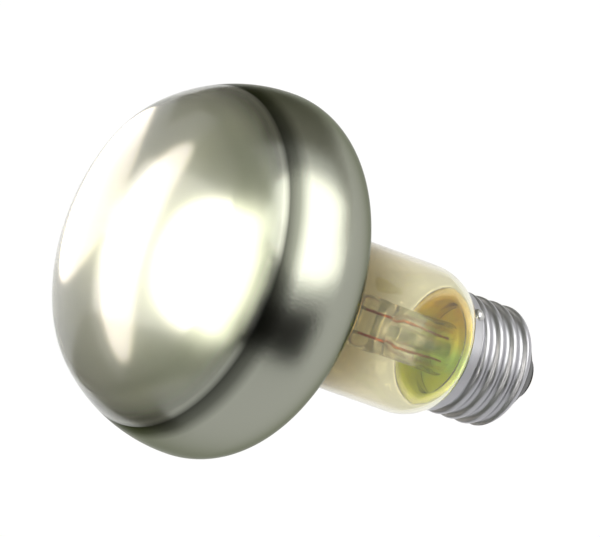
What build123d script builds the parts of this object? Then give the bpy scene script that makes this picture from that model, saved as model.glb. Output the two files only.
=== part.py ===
from build123d import *
import math
import os

# An 80 mm class reflector basking lamp with an Edison screw cap, in millimetres.
# The origin is the flat tip of the centre contact's solder, and +Z runs along the axis to the head.
# The press of the stem lies along X, with the side lead on +X and the centre lead on -X.

# Centre contact and its solder
solder_height = 0.35
solder_radius = 2.7
solder_tip_radius = 2.0
contact_thickness = 0.45
contact_radius = 4.3
eyelet_radius = 1.5
eyelet_bore_radius = 0.9
eyelet_length = 3.6
solder_plug = 1.2
lead_tip = 0.25

# Black glass insulator
boss_radius = 5.0
boss_height = 0.5
boss_round = 0.35
cone_height = 5.75
insulator_floor = 2.4
insulator_wall = 2.0
insulator_seat_height = 2.3
cavity_radius = 3.2
fit_clearance = 0.02

# Screw shell, rolled from thin sheet
sheet = 0.3
shell_length = 16.7
end_round = 3.2
end_turn = 65.0
thread_major = 26.35
thread_depth = 1.09
thread_pitch = 3.629
thread_phase = 5.8
root_land = 0.04
collar_radius = 13.25
collar_height = 2.6
collar_round = 0.8

# Glass bulb, from the seal up to the front
glass_wall = 0.9
rim_gap = 0.1
seal_radius = 10.9
seal_length = 4.3
seal_fillet = 0.7
heel_radius = 2.2
shoulder_radius = 10.7
shoulder_turn = 32.0
neck_radius = 16.2
neck_length = 23.95
root_fillet = 6.0
back_radius = 67.0
back_turn = 40.0
back_edge_radius = 12.2
head_diameter = 79.0
flank_radius = 34.5
flank_turn = 53.5
front_edge_radius = 10.0
front_radius = 58.0

# Stem: flare, press, exhaust tube and button rod
flare_wall = 1.0
flare_fillet = 2.5
flare_throat = 10.0
flare_tube_radius = 5.6
flare_cone_height = 8.5
flare_height = 17.6
press_neck = 3.4
press_height = 6.6
press_width = 11.6
press_depth = 4.2
press_round = 1.6
exhaust_radius = 1.7
exhaust_wall = 0.5
exhaust_length = 24.0
rod_radius = 1.5
rod_height = 13.5
button_radius = 2.6
button_height = 3.2

# Filament, leads and supports
filament_height = 27.5
filament_loop_radius = 9.0
filament_radius = 0.45
support_count = 4
support_wire_radius = 0.15
support_root = 1.0
support_grip = 1.5
hook_clearance = 0.1
hook_tip = 0.6
lead_offset = 2.5
inner_lead_radius = 0.4
inner_lead_rise = 5.0
inner_lead_bend = 3.0
lead_grip = 1.2
lead_shank = 6.0
dumet_radius = 0.28
dumet_length = 4.6
press_bite = 2.6
outer_lead_radius = 0.25
outer_lead_bend = 0.8
lead_gap = 0.6

# Cement, and the solder on the collar
cement_skirt = 2.2
cement_inner_radius = 7.4
cement_clearance = 0.05
side_solder_angle = -45.0
side_solder_radius = 1.3
side_solder_height = 0.7
side_lead_end = 0.35
lead_hole_clearance = 0.05

# Heights that follow from the sizes above
contact_top = solder_height + contact_thickness
boss_top = contact_top + boss_height
shell_bottom = boss_top + cone_height
shell_rim = shell_bottom + shell_length
collar_bottom = shell_rim - collar_height
end_centre_z = shell_bottom + end_round * math.sin(math.radians(end_turn))
ledge = shell_rim + rim_gap
seal_bottom = ledge - seal_length
flare_bottom = seal_bottom - flare_wall
press_start = seal_bottom + flare_height
press_bottom = press_start + press_neck
press_top = press_bottom + press_height
exhaust_tip = press_start - exhaust_length
button_bottom = press_top + rod_height
button_top = button_bottom + button_height
filament_z = press_top + filament_height
dumet_top = press_top - press_bite
dumet_bottom = dumet_top - dumet_length
cement_bottom = flare_bottom - cement_skirt
side_run_z = cement_bottom - lead_gap
side_solder_z = shell_rim - side_solder_radius

# Radii that follow
head_radius = head_diameter / 2
crest_radius = thread_major / 2
minor_radius = crest_radius - thread_depth
core_radius = minor_radius + root_land
thread_round = (thread_depth ** 2 + (thread_pitch / 2) ** 2) / (4 * thread_depth)
bore_radius = core_radius - sheet
side_lead_radius = (seal_radius + bore_radius) / 2
end_radius = collar_radius - end_round
end_hole_radius = end_radius + end_round * math.cos(math.radians(end_turn))


def turn(centre, radius, start, end):
    """Arc about a centre, from one polar angle to another, in degrees."""
    return CenterArc(centre, radius, start, end - start)


def spin(edges):
    """Solid of revolution about Z of a closed outline drawn as radius and height."""
    return revolve(Plane.XZ * make_face(edges), Axis.Z)


def polar(radius, angle, z):
    """Point at a radius and an azimuth in degrees."""
    azimuth = math.radians(angle)
    return (radius * math.cos(azimuth), radius * math.sin(azimuth), z)


def bulb_solid(inset):
    """Filled bulb whose surface lies inset below the outside of the glass."""
    wide, deep = math.sin, math.cos
    heel = math.radians(shoulder_turn)
    shoulder_r = neck_radius - shoulder_radius
    heel_r = shoulder_r + (shoulder_radius - heel_radius) * math.cos(heel)
    heel_z = ledge + heel_radius
    shoulder_z = heel_z + (shoulder_radius - heel_radius) * math.sin(heel)
    neck_top = shoulder_z + neck_length

    back = math.radians(back_turn)
    edge_r = head_radius - back_edge_radius
    back_r = edge_r - (back_radius - back_edge_radius) * wide(back)
    root_r = neck_radius + root_fillet
    reach = back_radius + root_fillet
    meet = math.asin((root_r - back_r) / reach)
    back_z = neck_top + reach * deep(meet)
    head_z = back_z - (back_radius - back_edge_radius) * deep(back)

    flank = math.radians(flank_turn)
    flank_r = head_radius - flank_radius
    front_edge_r = flank_r + (flank_radius - front_edge_radius) * wide(flank)
    front_edge_z = head_z + (flank_radius - front_edge_radius) * deep(flank)
    front_turn = math.asin(front_edge_r / (front_radius - front_edge_radius))
    front_z = front_edge_z - (front_radius - front_edge_radius) * deep(front_turn)

    fillet_r = seal_radius + seal_fillet
    wall_r = seal_radius - inset
    meet_angle = math.degrees(meet)
    front_angle = 90 - math.degrees(front_turn)
    return spin([
        Line((0, seal_bottom), (wall_r, seal_bottom)),
        Line((wall_r, seal_bottom), (wall_r, ledge - seal_fillet)),
        turn((fillet_r, ledge - seal_fillet), seal_fillet + inset, 180, 90),
        Line((fillet_r, ledge + inset), (heel_r, ledge + inset)),
        turn((heel_r, heel_z), heel_radius - inset, -90, -shoulder_turn),
        turn((shoulder_r, shoulder_z), shoulder_radius - inset, -shoulder_turn, 0),
        Line((neck_radius - inset, shoulder_z), (neck_radius - inset, neck_top)),
        turn((root_r, neck_top), root_fillet + inset, 180, 90 + meet_angle),
        turn((back_r, back_z), back_radius - inset, meet_angle - 90, back_turn - 90),
        turn((edge_r, head_z), back_edge_radius - inset, back_turn - 90, 0),
        turn((flank_r, head_z), flank_radius - inset, 0, 90 - flank_turn),
        turn((front_edge_r, front_edge_z), front_edge_radius - inset, 90 - flank_turn, front_angle),
        turn((0, front_z), front_radius - inset, front_angle, 90),
        Line((0, front_z + front_radius - inset), (0, seal_bottom)),
    ])


def glass_envelope():
    """Blown bulb of even wall, open at the seal, where the stem closes it."""
    return bulb_solid(0) - bulb_solid(glass_wall)


def thread_ridge(inset):
    """Rolled ridge as a helical solid, made of a crest arc between two root arcs."""
    half_pitch = thread_pitch / 2
    crest_r = crest_radius - thread_round
    root_r = minor_radius + thread_round
    crest_arc = thread_round - inset
    root_arc = thread_round + inset
    flank = math.degrees(math.atan2(root_r - crest_r, half_pitch))
    foot_r = minor_radius + root_land / 2 - inset
    foot_angle = math.degrees(math.acos((root_r - foot_r) / root_arc))
    foot_z = half_pitch - root_arc * math.sin(math.radians(foot_angle))
    inside_r = foot_r - sheet
    section = make_face([
        Line((inside_r, -foot_z), (foot_r, -foot_z)),
        turn((root_r, -half_pitch), root_arc, 180 - foot_angle, 90 + flank),
        turn((crest_r, 0), crest_arc, flank - 90, 90 - flank),
        turn((root_r, half_pitch), root_arc, 270 - flank, 180 + foot_angle),
        Line((foot_r, foot_z), (inside_r, foot_z)),
        Line((inside_r, foot_z), (inside_r, -foot_z)),
    ])
    first_turn = math.floor((shell_bottom - thread_phase) / thread_pitch) - 1
    last_turn = math.ceil((shell_rim - thread_phase) / thread_pitch)
    start_z = thread_phase + first_turn * thread_pitch
    height = (last_turn - first_turn) * thread_pitch
    path = Helix(thread_pitch, height, core_radius)
    return Pos(0, 0, start_z) * sweep(Plane.XZ * section, path=path, is_frenet=True)


def shell_solid(inset):
    """Filled screw shell whose surface lies inset below the outside of the sheet."""
    core_r = core_radius - inset
    round_r = collar_radius - collar_round
    round_z = collar_bottom + collar_round
    low = shell_bottom + inset
    core = spin([
        Line((0, low), (core_r, low)),
        Line((core_r, low), (core_r, collar_bottom + inset)),
        Line((core_r, collar_bottom + inset), (round_r, collar_bottom + inset)),
        turn((round_r, round_z), collar_round - inset, -90, 0),
        Line((collar_radius - inset, round_z), (collar_radius - inset, shell_rim)),
        Line((collar_radius - inset, shell_rim), (0, shell_rim)),
        Line((0, shell_rim), (0, low)),
    ])
    arc = end_round - inset
    low_turn = math.degrees(math.asin((end_centre_z - low) / arc))
    corner = (end_radius + arc * math.cos(math.radians(low_turn)), low)
    limit = spin([
        Line((0, low), corner),
        turn((end_radius, end_centre_z), arc, -low_turn, 0),
        Line((end_radius + arc, end_centre_z), (end_radius + arc, shell_rim)),
        Line((end_radius + arc, shell_rim), (0, shell_rim)),
        Line((0, shell_rim), (0, low)),
    ])
    return (core + thread_ridge(inset)) & limit


def screw_shell():
    """Thin rolled shell, threaded inside and out, with a hole in its collar for the side lead."""
    end_hole = Pos(0, 0, shell_bottom) * Cylinder(end_hole_radius, 4 * sheet)
    lead_hole = collar_stub(outer_lead_radius + lead_hole_clearance, collar_radius + sheet)
    return shell_solid(0) - shell_solid(sheet) - end_hole - lead_hole


def collar_stub(radius, reach):
    """Radial cylinder through the collar at the side solder, from the cement out to a reach."""
    start = polar(side_lead_radius, side_solder_angle, side_solder_z)
    outward = polar(1, side_solder_angle, 0)
    length = reach - side_lead_radius
    lying = Plane(origin=start, z_dir=outward)
    return lying * Cylinder(radius, length, align=(Align.CENTER, Align.CENTER, Align.MIN))


def insulator():
    """Moulded black glass cone, dished inside, with a hole for the eyelet."""
    seat = end_round - sheet - fit_clearance
    seat_r = bore_radius - fit_clearance
    top = shell_bottom + insulator_seat_height
    hole_r = eyelet_radius + fit_clearance
    floor = contact_top + insulator_floor
    edge = min(boss_round, 0.9 * boss_height)
    edge_r = end_hole_radius - fit_clearance
    edge_turn = math.acos((edge_r - end_radius) / seat)
    edge_z = end_centre_z - seat * math.sin(edge_turn)
    seat_turn = math.acos((seat_r - end_radius) / seat)
    seat_z = end_centre_z - seat * math.sin(seat_turn)
    return spin([
        Line((hole_r, contact_top), (boss_radius - edge, contact_top)),
        turn((boss_radius - edge, contact_top + edge), edge, -90, 0),
        Line((boss_radius, contact_top + edge), (boss_radius, boss_top)),
        Line((boss_radius, boss_top), (edge_r, shell_bottom)),
        Line((edge_r, shell_bottom), (edge_r, edge_z)),
        turn((end_radius, end_centre_z), seat, -math.degrees(edge_turn), -math.degrees(seat_turn)),
        Line((seat_r, seat_z), (seat_r, top)),
        Line((seat_r, top), (seat_r - insulator_wall, top)),
        Line((seat_r - insulator_wall, top), (cavity_radius, floor)),
        Line((cavity_radius, floor), (hole_r, floor)),
        Line((hole_r, floor), (hole_r, contact_top)),
    ])


def centre_contact():
    """Brass eyelet: a flat disc on the boss, and a tube up through the insulator."""
    disc = Cylinder(contact_radius, contact_thickness, align=(Align.CENTER, Align.CENTER, Align.MIN))
    tube = Cylinder(eyelet_radius, eyelet_length, align=(Align.CENTER, Align.CENTER, Align.MIN))
    bore = Cylinder(eyelet_bore_radius, eyelet_length, align=(Align.CENTER, Align.CENTER, Align.MIN))
    return Pos(0, 0, solder_height) * (disc + tube - bore)


def centre_solder(lead):
    """Flattened solder under the eyelet, with a plug in its bore round the centre lead."""
    plug_top = solder_height + solder_plug
    body = spin([
        Line((0, 0), (solder_tip_radius, 0)),
        Line((solder_tip_radius, 0), (solder_radius, solder_height)),
        Line((solder_radius, solder_height), (eyelet_bore_radius, solder_height)),
        Line((eyelet_bore_radius, solder_height), (eyelet_bore_radius, plug_top)),
        Line((eyelet_bore_radius, plug_top), (0, plug_top)),
        Line((0, plug_top), (0, 0)),
    ])
    return body - lead


def side_solder(lead):
    """Rounded solder bump on the collar, over the end of the side lead."""
    ball = (side_solder_radius ** 2 + side_solder_height ** 2) / (2 * side_solder_height)
    centre = polar(collar_radius + side_solder_height - ball, side_solder_angle, side_solder_z)
    collar = Pos(0, 0, side_solder_z) * Cylinder(collar_radius, 4 * side_solder_radius)
    return Pos(*centre) * Sphere(ball) - collar - lead


def flare_stem(buried):
    """Flare, tube and pinched press in one glass piece, with the wires' channels left in it."""
    corner_r = seal_radius - glass_wall - flare_fillet
    path = FilletPolyline(
        (seal_radius, seal_bottom),
        (corner_r, seal_bottom),
        (flare_tube_radius, seal_bottom + flare_cone_height),
        (flare_tube_radius, press_start),
        radius=[flare_fillet, flare_throat],
    )
    strip = offset(path, amount=flare_wall, side=Side.LEFT)
    wall = revolve(Plane.XZ * make_face(strip), Axis.Z)
    corner = min(press_round, 0.45 * press_depth)
    pinch = RectangleRounded(press_width, press_depth, corner)
    funnel = loft([Pos(0, 0, press_start) * Circle(flare_tube_radius), Pos(0, 0, press_bottom) * pinch])
    press = extrude(Pos(0, 0, press_bottom) * pinch, amount=press_height)
    stem = wall + funnel + press
    for wire in buried:
        stem -= wire
    return stem


def exhaust_tube():
    """Glass tube below the press, melted shut at its tip."""
    def tube(inset):
        radius = exhaust_radius - inset
        tip_z = exhaust_tip + exhaust_radius
        return spin([
            turn((0, tip_z), radius, -90, 0),
            Line((radius, tip_z), (radius, press_start)),
            Line((radius, press_start), (0, press_start)),
            Line((0, press_start), (0, tip_z - radius)),
        ])
    return tube(0) - tube(exhaust_wall)


def button_rod(hooks):
    """Glass rod on the press, with a swollen button that the filament's supports are set in."""
    middle = (button_bottom + button_top) / 2
    rod = spin([
        Line((0, press_top), (rod_radius, press_top)),
        Line((rod_radius, press_top), (rod_radius, button_bottom)),
        ThreePointArc((rod_radius, button_bottom), (button_radius, middle), (rod_radius, button_top)),
        Line((rod_radius, button_top), (0, button_top)),
        Line((0, button_top), (0, press_top)),
    ])
    for hook in hooks:
        rod -= hook
    return rod


def wire(points, radius, bends):
    """Round wire along straight runs joined by arcs."""
    path = FilletPolyline(*points, radius=bends) if bends else Polyline(*points)
    return sweep(Plane(origin=path @ 0, z_dir=path % 0) * Circle(radius), path=path)


def inner_lead(side):
    """Nickel wire from the press up to one end of the filament."""
    points = [
        (side * lead_offset, 0, dumet_top),
        (side * lead_offset, 0, press_top + inner_lead_rise),
        (side * filament_loop_radius, 0, filament_z - lead_shank),
        (side * filament_loop_radius, 0, filament_z + lead_grip),
    ]
    return wire(points, inner_lead_radius, [inner_lead_bend, inner_lead_bend])


def dumet(side):
    """Short copper-coated wire that seals in the press."""
    points = [(side * lead_offset, 0, dumet_bottom), (side * lead_offset, 0, dumet_top)]
    return wire(points, dumet_radius, None)


def outer_lead_side():
    """Thin wire under the flare's lip, up through the cement and out through the collar."""
    points = [
        (lead_offset, 0, dumet_bottom),
        (lead_offset, 0, side_run_z),
        polar(side_lead_radius, side_solder_angle, side_run_z),
        polar(side_lead_radius, side_solder_angle, side_solder_z),
        polar(collar_radius + side_lead_end, side_solder_angle, side_solder_z),
    ]
    return wire(points, outer_lead_radius, outer_lead_bend)


def outer_lead_centre():
    """Thin wire past the exhaust tube's tip and down the axis to the eyelet."""
    points = [
        (-lead_offset, 0, dumet_bottom),
        (-lead_offset, 0, exhaust_tip - lead_gap),
        (0, 0, exhaust_tip - lead_gap - lead_offset),
        (0, 0, lead_tip),
    ]
    return wire(points, outer_lead_radius, outer_lead_bend)


def support_hook(angle):
    """Support wire from the button, with a crook at its end that the filament lies in."""
    crook = filament_radius + support_wire_radius + hook_clearance
    root_z = button_bottom + support_grip
    rise = math.atan2(filament_z - root_z, filament_loop_radius - support_root)
    root_r = support_root + crook * math.sin(rise)
    outside_r = filament_loop_radius + crook
    corner_z = filament_z - crook * math.tan((math.pi / 2 - rise) / 2)
    points = [
        polar(root_r, angle, root_z - crook * math.cos(rise)),
        polar(outside_r, angle, corner_z),
        polar(outside_r, angle, filament_z + hook_tip),
    ]
    return wire(points, support_wire_radius, crook)


def filament(leads):
    """Tungsten coil as a round bar of the coil's size, bent in a half loop between the leads."""
    path = CenterArc((0, 0, filament_z), filament_loop_radius, 180, 180)
    coil = sweep(Plane(origin=path @ 0, z_dir=path % 0) * Circle(filament_radius), path=path)
    for lead in leads:
        coil -= lead
    return coil.solids().sort_by(SortBy.VOLUME)[-1]


def basing_cement(bulb, stem, lead):
    """Cement between the seal and the shell, and under the lip of the flare."""
    bore = bore_radius - cement_clearance
    collar_bore = collar_radius - sheet - cement_clearance
    step = collar_bottom + collar_round
    ring = spin([
        Line((cement_inner_radius, cement_bottom), (bore, cement_bottom)),
        Line((bore, cement_bottom), (bore, step)),
        Line((bore, step), (collar_bore, step)),
        Line((collar_bore, step), (collar_bore, shell_rim)),
        Line((collar_bore, shell_rim), (cement_inner_radius, shell_rim)),
        Line((cement_inner_radius, shell_rim), (cement_inner_radius, cement_bottom)),
    ])
    return ring - bulb - stem - lead


def build():
    """Every piece, by the name of its node."""
    side_lead = outer_lead_side()
    centre_lead = outer_lead_centre()
    inner_leads = [inner_lead(1), inner_lead(-1)]
    dumets = [dumet(1), dumet(-1)]
    spacing = 180 / (support_count + 1)
    hooks = [support_hook(180 + spacing * (i + 1)) for i in range(support_count)]
    stem = flare_stem([*inner_leads, *dumets, side_lead, centre_lead])
    pieces = {
        "glass_envelope": glass_envelope(),
        "flare_stem": stem,
        "exhaust_tube": exhaust_tube(),
        "button_rod": button_rod(hooks),
        "filament": filament(inner_leads),
        "inner_lead_side": inner_leads[0],
        "inner_lead_centre": inner_leads[1],
        "dumet_side": dumets[0],
        "dumet_centre": dumets[1],
        "outer_lead_side": side_lead,
        "outer_lead_centre": centre_lead,
        "basing_cement": basing_cement(bulb_solid(0), stem, side_lead),
        "screw_shell": screw_shell(),
        "insulator": insulator(),
        "centre_contact": centre_contact(),
        "centre_solder": centre_solder(centre_lead),
        "side_solder": side_solder(side_lead),
    }
    for i, hook in enumerate(hooks):
        pieces[f"support_wire_{i + 1}"] = hook
    return pieces


os.makedirs("parts", exist_ok=True)
for name, piece in build().items():
    export_step(piece, f"parts/{name}.step")
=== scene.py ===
import math

import bmesh
import bpy
from bpy.props import FloatProperty, IntProperty, PointerProperty, StringProperty
from mathutils import Matrix, Vector, noise


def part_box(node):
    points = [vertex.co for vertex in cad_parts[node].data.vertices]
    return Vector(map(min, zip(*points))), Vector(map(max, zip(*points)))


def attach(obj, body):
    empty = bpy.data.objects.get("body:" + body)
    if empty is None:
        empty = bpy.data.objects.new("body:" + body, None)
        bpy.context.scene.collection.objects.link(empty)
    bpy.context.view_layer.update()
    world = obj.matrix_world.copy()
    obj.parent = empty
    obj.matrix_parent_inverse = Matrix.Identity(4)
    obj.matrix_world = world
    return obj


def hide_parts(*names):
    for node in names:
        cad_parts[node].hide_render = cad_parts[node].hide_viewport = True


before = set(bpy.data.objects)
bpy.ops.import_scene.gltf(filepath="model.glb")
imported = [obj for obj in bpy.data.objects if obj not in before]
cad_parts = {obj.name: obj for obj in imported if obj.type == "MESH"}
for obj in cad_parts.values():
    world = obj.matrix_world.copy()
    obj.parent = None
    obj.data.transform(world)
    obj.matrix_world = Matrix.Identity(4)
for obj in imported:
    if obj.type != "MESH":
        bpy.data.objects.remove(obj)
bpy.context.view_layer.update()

bl_info = {
    "name": "Reflector basking lamp",
    "version": (1, 0, 0),
    "blender": (4, 5, 0),
    "location": "View3D > Sidebar > Lamp",
    "description": "Builds the looks of a mirrored reflector heat lamp round its fixed frame",
    "category": "Object",
}

MM = 0.001
TURN = math.tau

# Facets round the axis: more where a piece is large or its shine would show them.
BULB_STEPS = 192
SHELL_STEPS = 288
ROUND_STEPS = 96
EYELET_STEPS = 72
SOLDER_STEPS = 64
ROD_STEPS = 48
# Rows of facets along the shell.
SHELL_ROWS = 150
# Metres within which points are one, and below which an edge is dropped.
MERGE = 2e-6
SHELL_MERGE = 1e-6
FLAT = 1e-7

GLASS_IOR = 1.5
STEM_IOR = 1.52
# Heights on the bulb: painted shade on the neck's glass towards the head, shades of the coating with a painted
# dark edge, and where the coating thins out, painted dark where it starts.
NECK_SHADE_LOW, NECK_SHADE_HIGH = 23 * MM, 57 * MM
COAT_LOW, COAT_HIGH = 56 * MM, 93 * MM
THINNING_START = 92.2 * MM
THINNED_OUTSIDE, THINNED_INSIDE = 96.8 * MM, 99.5 * MM

# The flare's bell, which the cement fills: how far in its curve is centred, the curve's radius on the
# upper side, the glass's thickness, and the angle that the curve ends at.
FLARE_LIP = 2.2 * MM
FLARE_BELL = 2.9 * MM
FLARE_WALL = 1 * MM
FLARE_TURN = -168

# Stage, in metres and degrees: middle that the lights and cards face, the lights' distance from it,
# place in the middle of the picture, width of the sensor in millimetres, half the floor's side.
MIDDLE = Vector((0, 0, 80 * MM))
LIGHT_DISTANCE = 0.9
AIM = Vector((5.9, 10.7, 55.4)) * MM
SENSOR = 36.0
FLOOR_HALF = 6.0
# Bright shapes in the mirror: name, azimuth, elevation, width, height, watts.
SHEENS = (
    ("back_sheen", 85, 9, 0.46, 0.8, 5.0),
    ("middle_sheen", 93, 48, 1.16, 0.4, 14.5),
    ("top_sheen", 92, 88, 0.85, 0.75, 14.0),
)
# Dark shapes in the mirror: name, azimuth, elevation, distance, width, height, paper.
CARDS = (
    ("black_card", -110, -5, 0.88, 0.52, 0.75, "#0A0A0A"),
    ("dark_card", 33, -10, 0.9, 1.15, 1.15, "#74746E"),
    ("far_dark_card", 138, 8, 0.9, 0.9, 0.7, "#74746E"),
    ("under_card", -28, -48, 0.88, 1.2, 0.6, "#8E8E88"),
    ("left_wing", -10, 40, 0.9, 1.6, 0.7, "#72766F"),
    ("right_wing", 190, 40, 0.9, 1.6, 0.7, "#72766F"),
    ("near_wing", -90, 30, 0.95, 1.5, 0.75, "#72766F"),
)

shell_low, shell_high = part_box("screw_shell")
envelope_low, envelope_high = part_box("glass_envelope")
stem_low, stem_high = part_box("flare_stem")
rod_low, rod_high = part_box("button_rod")
tube_low, tube_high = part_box("exhaust_tube")
insulator_low, insulator_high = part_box("insulator")
contact_low, contact_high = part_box("centre_contact")
solder_low, solder_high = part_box("centre_solder")
bump_low, bump_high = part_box("side_solder")
cement_low, cement_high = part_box("basing_cement")
filament_low, filament_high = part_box("filament")


class BulbSizes(bpy.types.PropertyGroup):
    """Outline of the blown bulb, from the seal up to the front."""
    wall: FloatProperty(name="Wall", description="Thickness of the glass", default=0.9 * MM, unit="LENGTH")
    rim_gap: FloatProperty(
        name="Rim gap", description="From the shell's rim up to the glass", default=0.1 * MM, unit="LENGTH")
    seal_radius: FloatProperty(
        name="Seal radius", description="Outside of the seal", default=10.9 * MM, unit="LENGTH")
    seal_fillet: FloatProperty(
        name="Seal fillet", description="Hollow between the seal and the heel",
        default=0.7 * MM, unit="LENGTH")
    heel_radius: FloatProperty(
        name="Heel radius", description="Tight round above the shell", default=2.2 * MM, unit="LENGTH")
    shoulder_radius: FloatProperty(
        name="Shoulder radius", description="Round from the neck to the heel",
        default=10.7 * MM, unit="LENGTH")
    shoulder_turn: FloatProperty(
        name="Shoulder turn", description="Where the shoulder meets the heel",
        default=math.radians(32), subtype="ANGLE")
    neck_radius: FloatProperty(name="Neck radius", description="Clear neck", default=16.2 * MM, unit="LENGTH")
    neck_length: FloatProperty(
        name="Neck length", description="Straight part of the neck", default=23.95 * MM, unit="LENGTH")
    root_fillet: FloatProperty(
        name="Root fillet", description="Hollow between the neck and the head", default=6 * MM, unit="LENGTH")
    back_radius: FloatProperty(
        name="Back radius", description="Curve of the reflector", default=67 * MM, unit="LENGTH")
    back_turn: FloatProperty(
        name="Back turn", description="Where the reflector meets the rear edge",
        default=math.radians(40), subtype="ANGLE")
    edge_radius: FloatProperty(
        name="Edge radius", description="Rear edge of the head", default=12.2 * MM, unit="LENGTH")
    flank_radius: FloatProperty(
        name="Flank radius", description="Side of the head", default=34.5 * MM, unit="LENGTH")
    flank_turn: FloatProperty(
        name="Flank turn", description="Where the side meets the front edge",
        default=math.radians(53.5), subtype="ANGLE")
    front_edge_radius: FloatProperty(
        name="Front edge radius", description="Front edge of the head", default=10 * MM, unit="LENGTH")
    front_radius: FloatProperty(
        name="Front radius", description="Curve of the window", default=58 * MM, unit="LENGTH")
    window_height: FloatProperty(
        name="Window height", description="Where the mirror coating ends at the front",
        default=92.7 * MM, unit="LENGTH")
    coat_height: FloatProperty(
        name="Coat height", description="Where the mirror coating ends at the neck",
        default=56.2 * MM, unit="LENGTH")


class Finish(bpy.types.PropertyGroup):
    """Colours that a user would change."""
    coat_colour: StringProperty(
        name="Coating", description="Aluminium coating seen through the glass", default="#9A9C90")
    mirror_colour: StringProperty(
        name="Mirror", description="Aluminium coating seen from inside", default="#E4E3DD")
    neck_colour: StringProperty(name="Neck", description="Clear glass of the neck", default="#E3DDC6")
    shell_colour: StringProperty(name="Shell", description="Bright aluminium", default="#A9A9AD")
    cement_warm: StringProperty(name="Baked cement", description="Where it baked hottest", default="#F8D040")
    cement_cool: StringProperty(name="Green cement", description="Where it baked least", default="#C8EC84")


def linear(hex_colour):
    """Linear red, green, blue and alpha of an sRGB hex value."""
    values = []
    for i in (1, 3, 5):
        c = int(hex_colour[i:i + 2], 16) / 255
        values.append(c / 12.92 if c <= 0.04045 else ((c + 0.055) / 1.055) ** 2.4)
    return (*values, 1.0)


def add_node(tree, kind, settings=None, links=None):
    """Adds a node, sets its properties and sockets by name, and links sockets to other nodes' outputs."""
    node = tree.nodes.new(kind)
    for name, value in (settings or {}).items():
        if isinstance(name, int) or name in node.inputs:
            node.inputs[name].default_value = value
        else:
            setattr(node, name, value)
    for name, output in (links or {}).items():
        tree.links.new(output, node.inputs[name])
    return node


def new_material(name):
    """Empty node material and its tree."""
    material = bpy.data.materials.new(name)
    material.use_nodes = True
    tree = material.node_tree
    tree.nodes.clear()
    return material, tree


def set_surface(tree, shader, kind="ShaderNodeOutputMaterial"):
    """Gives a tree its output node with a shader on it."""
    add_node(tree, kind, {}, {"Surface": shader.outputs[0]})


def object_coordinates(tree):
    """The piece's own coordinates, which lie in the shared frame."""
    return add_node(tree, "ShaderNodeTexCoord").outputs["Object"]


def noise_value(tree, where, spot, detail, roughness=0.5):
    """Noise from 0 to 1 with spots of a size in metres."""
    settings = {"Scale": 1 / spot, "Detail": detail, "Roughness": roughness}
    return add_node(tree, "ShaderNodeTexNoise", settings, {"Vector": where}).outputs["Fac"]


def bump_normal(tree, height, strength, depth):
    """Normal of a surface that stands out by a depth in metres where the height is 1."""
    settings = {"Strength": strength, "Distance": depth}
    return add_node(tree, "ShaderNodeBump", settings, {"Height": height}).outputs["Normal"]


def remap(tree, value, from_range, to_range=(0.0, 1.0)):
    """Value of one range brought to another, and held at its ends."""
    settings = dict(zip(("From Min", "From Max", "To Min", "To Max"), (*from_range, *to_range)))
    return add_node(tree, "ShaderNodeMapRange", settings, {"Value": value}).outputs["Result"]


def coordinate(tree, where, axis):
    """One coordinate of a place."""
    return add_node(tree, "ShaderNodeSeparateXYZ", {}, {"Vector": where}).outputs[axis]


def colour_ramp(tree, value, stops, interpolation="LINEAR"):
    """Colour at a value from 0 to 1, through stops of place and colour."""
    ramp = add_node(tree, "ShaderNodeValToRGB", {}, {"Fac": value})
    ramp.color_ramp.interpolation = interpolation
    elements = ramp.color_ramp.elements
    for element, (place, colour) in zip(elements, (stops[0], stops[-1])):
        element.position = place
        element.color = linear(colour)
    for place, colour in stops[1:-1]:
        elements.new(place).color = linear(colour)
    return ramp.outputs["Color"]


def principled(tree, settings, links=None):
    """Principled shader with its sockets set or linked by name."""
    return add_node(tree, "ShaderNodeBsdfPrincipled", settings, links)


def mix_shaders(tree, share, low, high):
    """Mixes two shaders: the first where the share is 0, the second where it is 1."""
    links = {0: share, 1: low.outputs[0], 2: high.outputs[0]}
    return add_node(tree, "ShaderNodeMixShader", {}, links)


def arc(centre, radius, start, end, count):
    """Points along an arc in the half plane of radius and height, angles in degrees."""
    points = []
    for i in range(count + 1):
        a = math.radians(start + (end - start) * i / count)
        points.append((centre[0] + radius * math.cos(a), centre[1] + radius * math.sin(a)))
    return points


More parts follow.
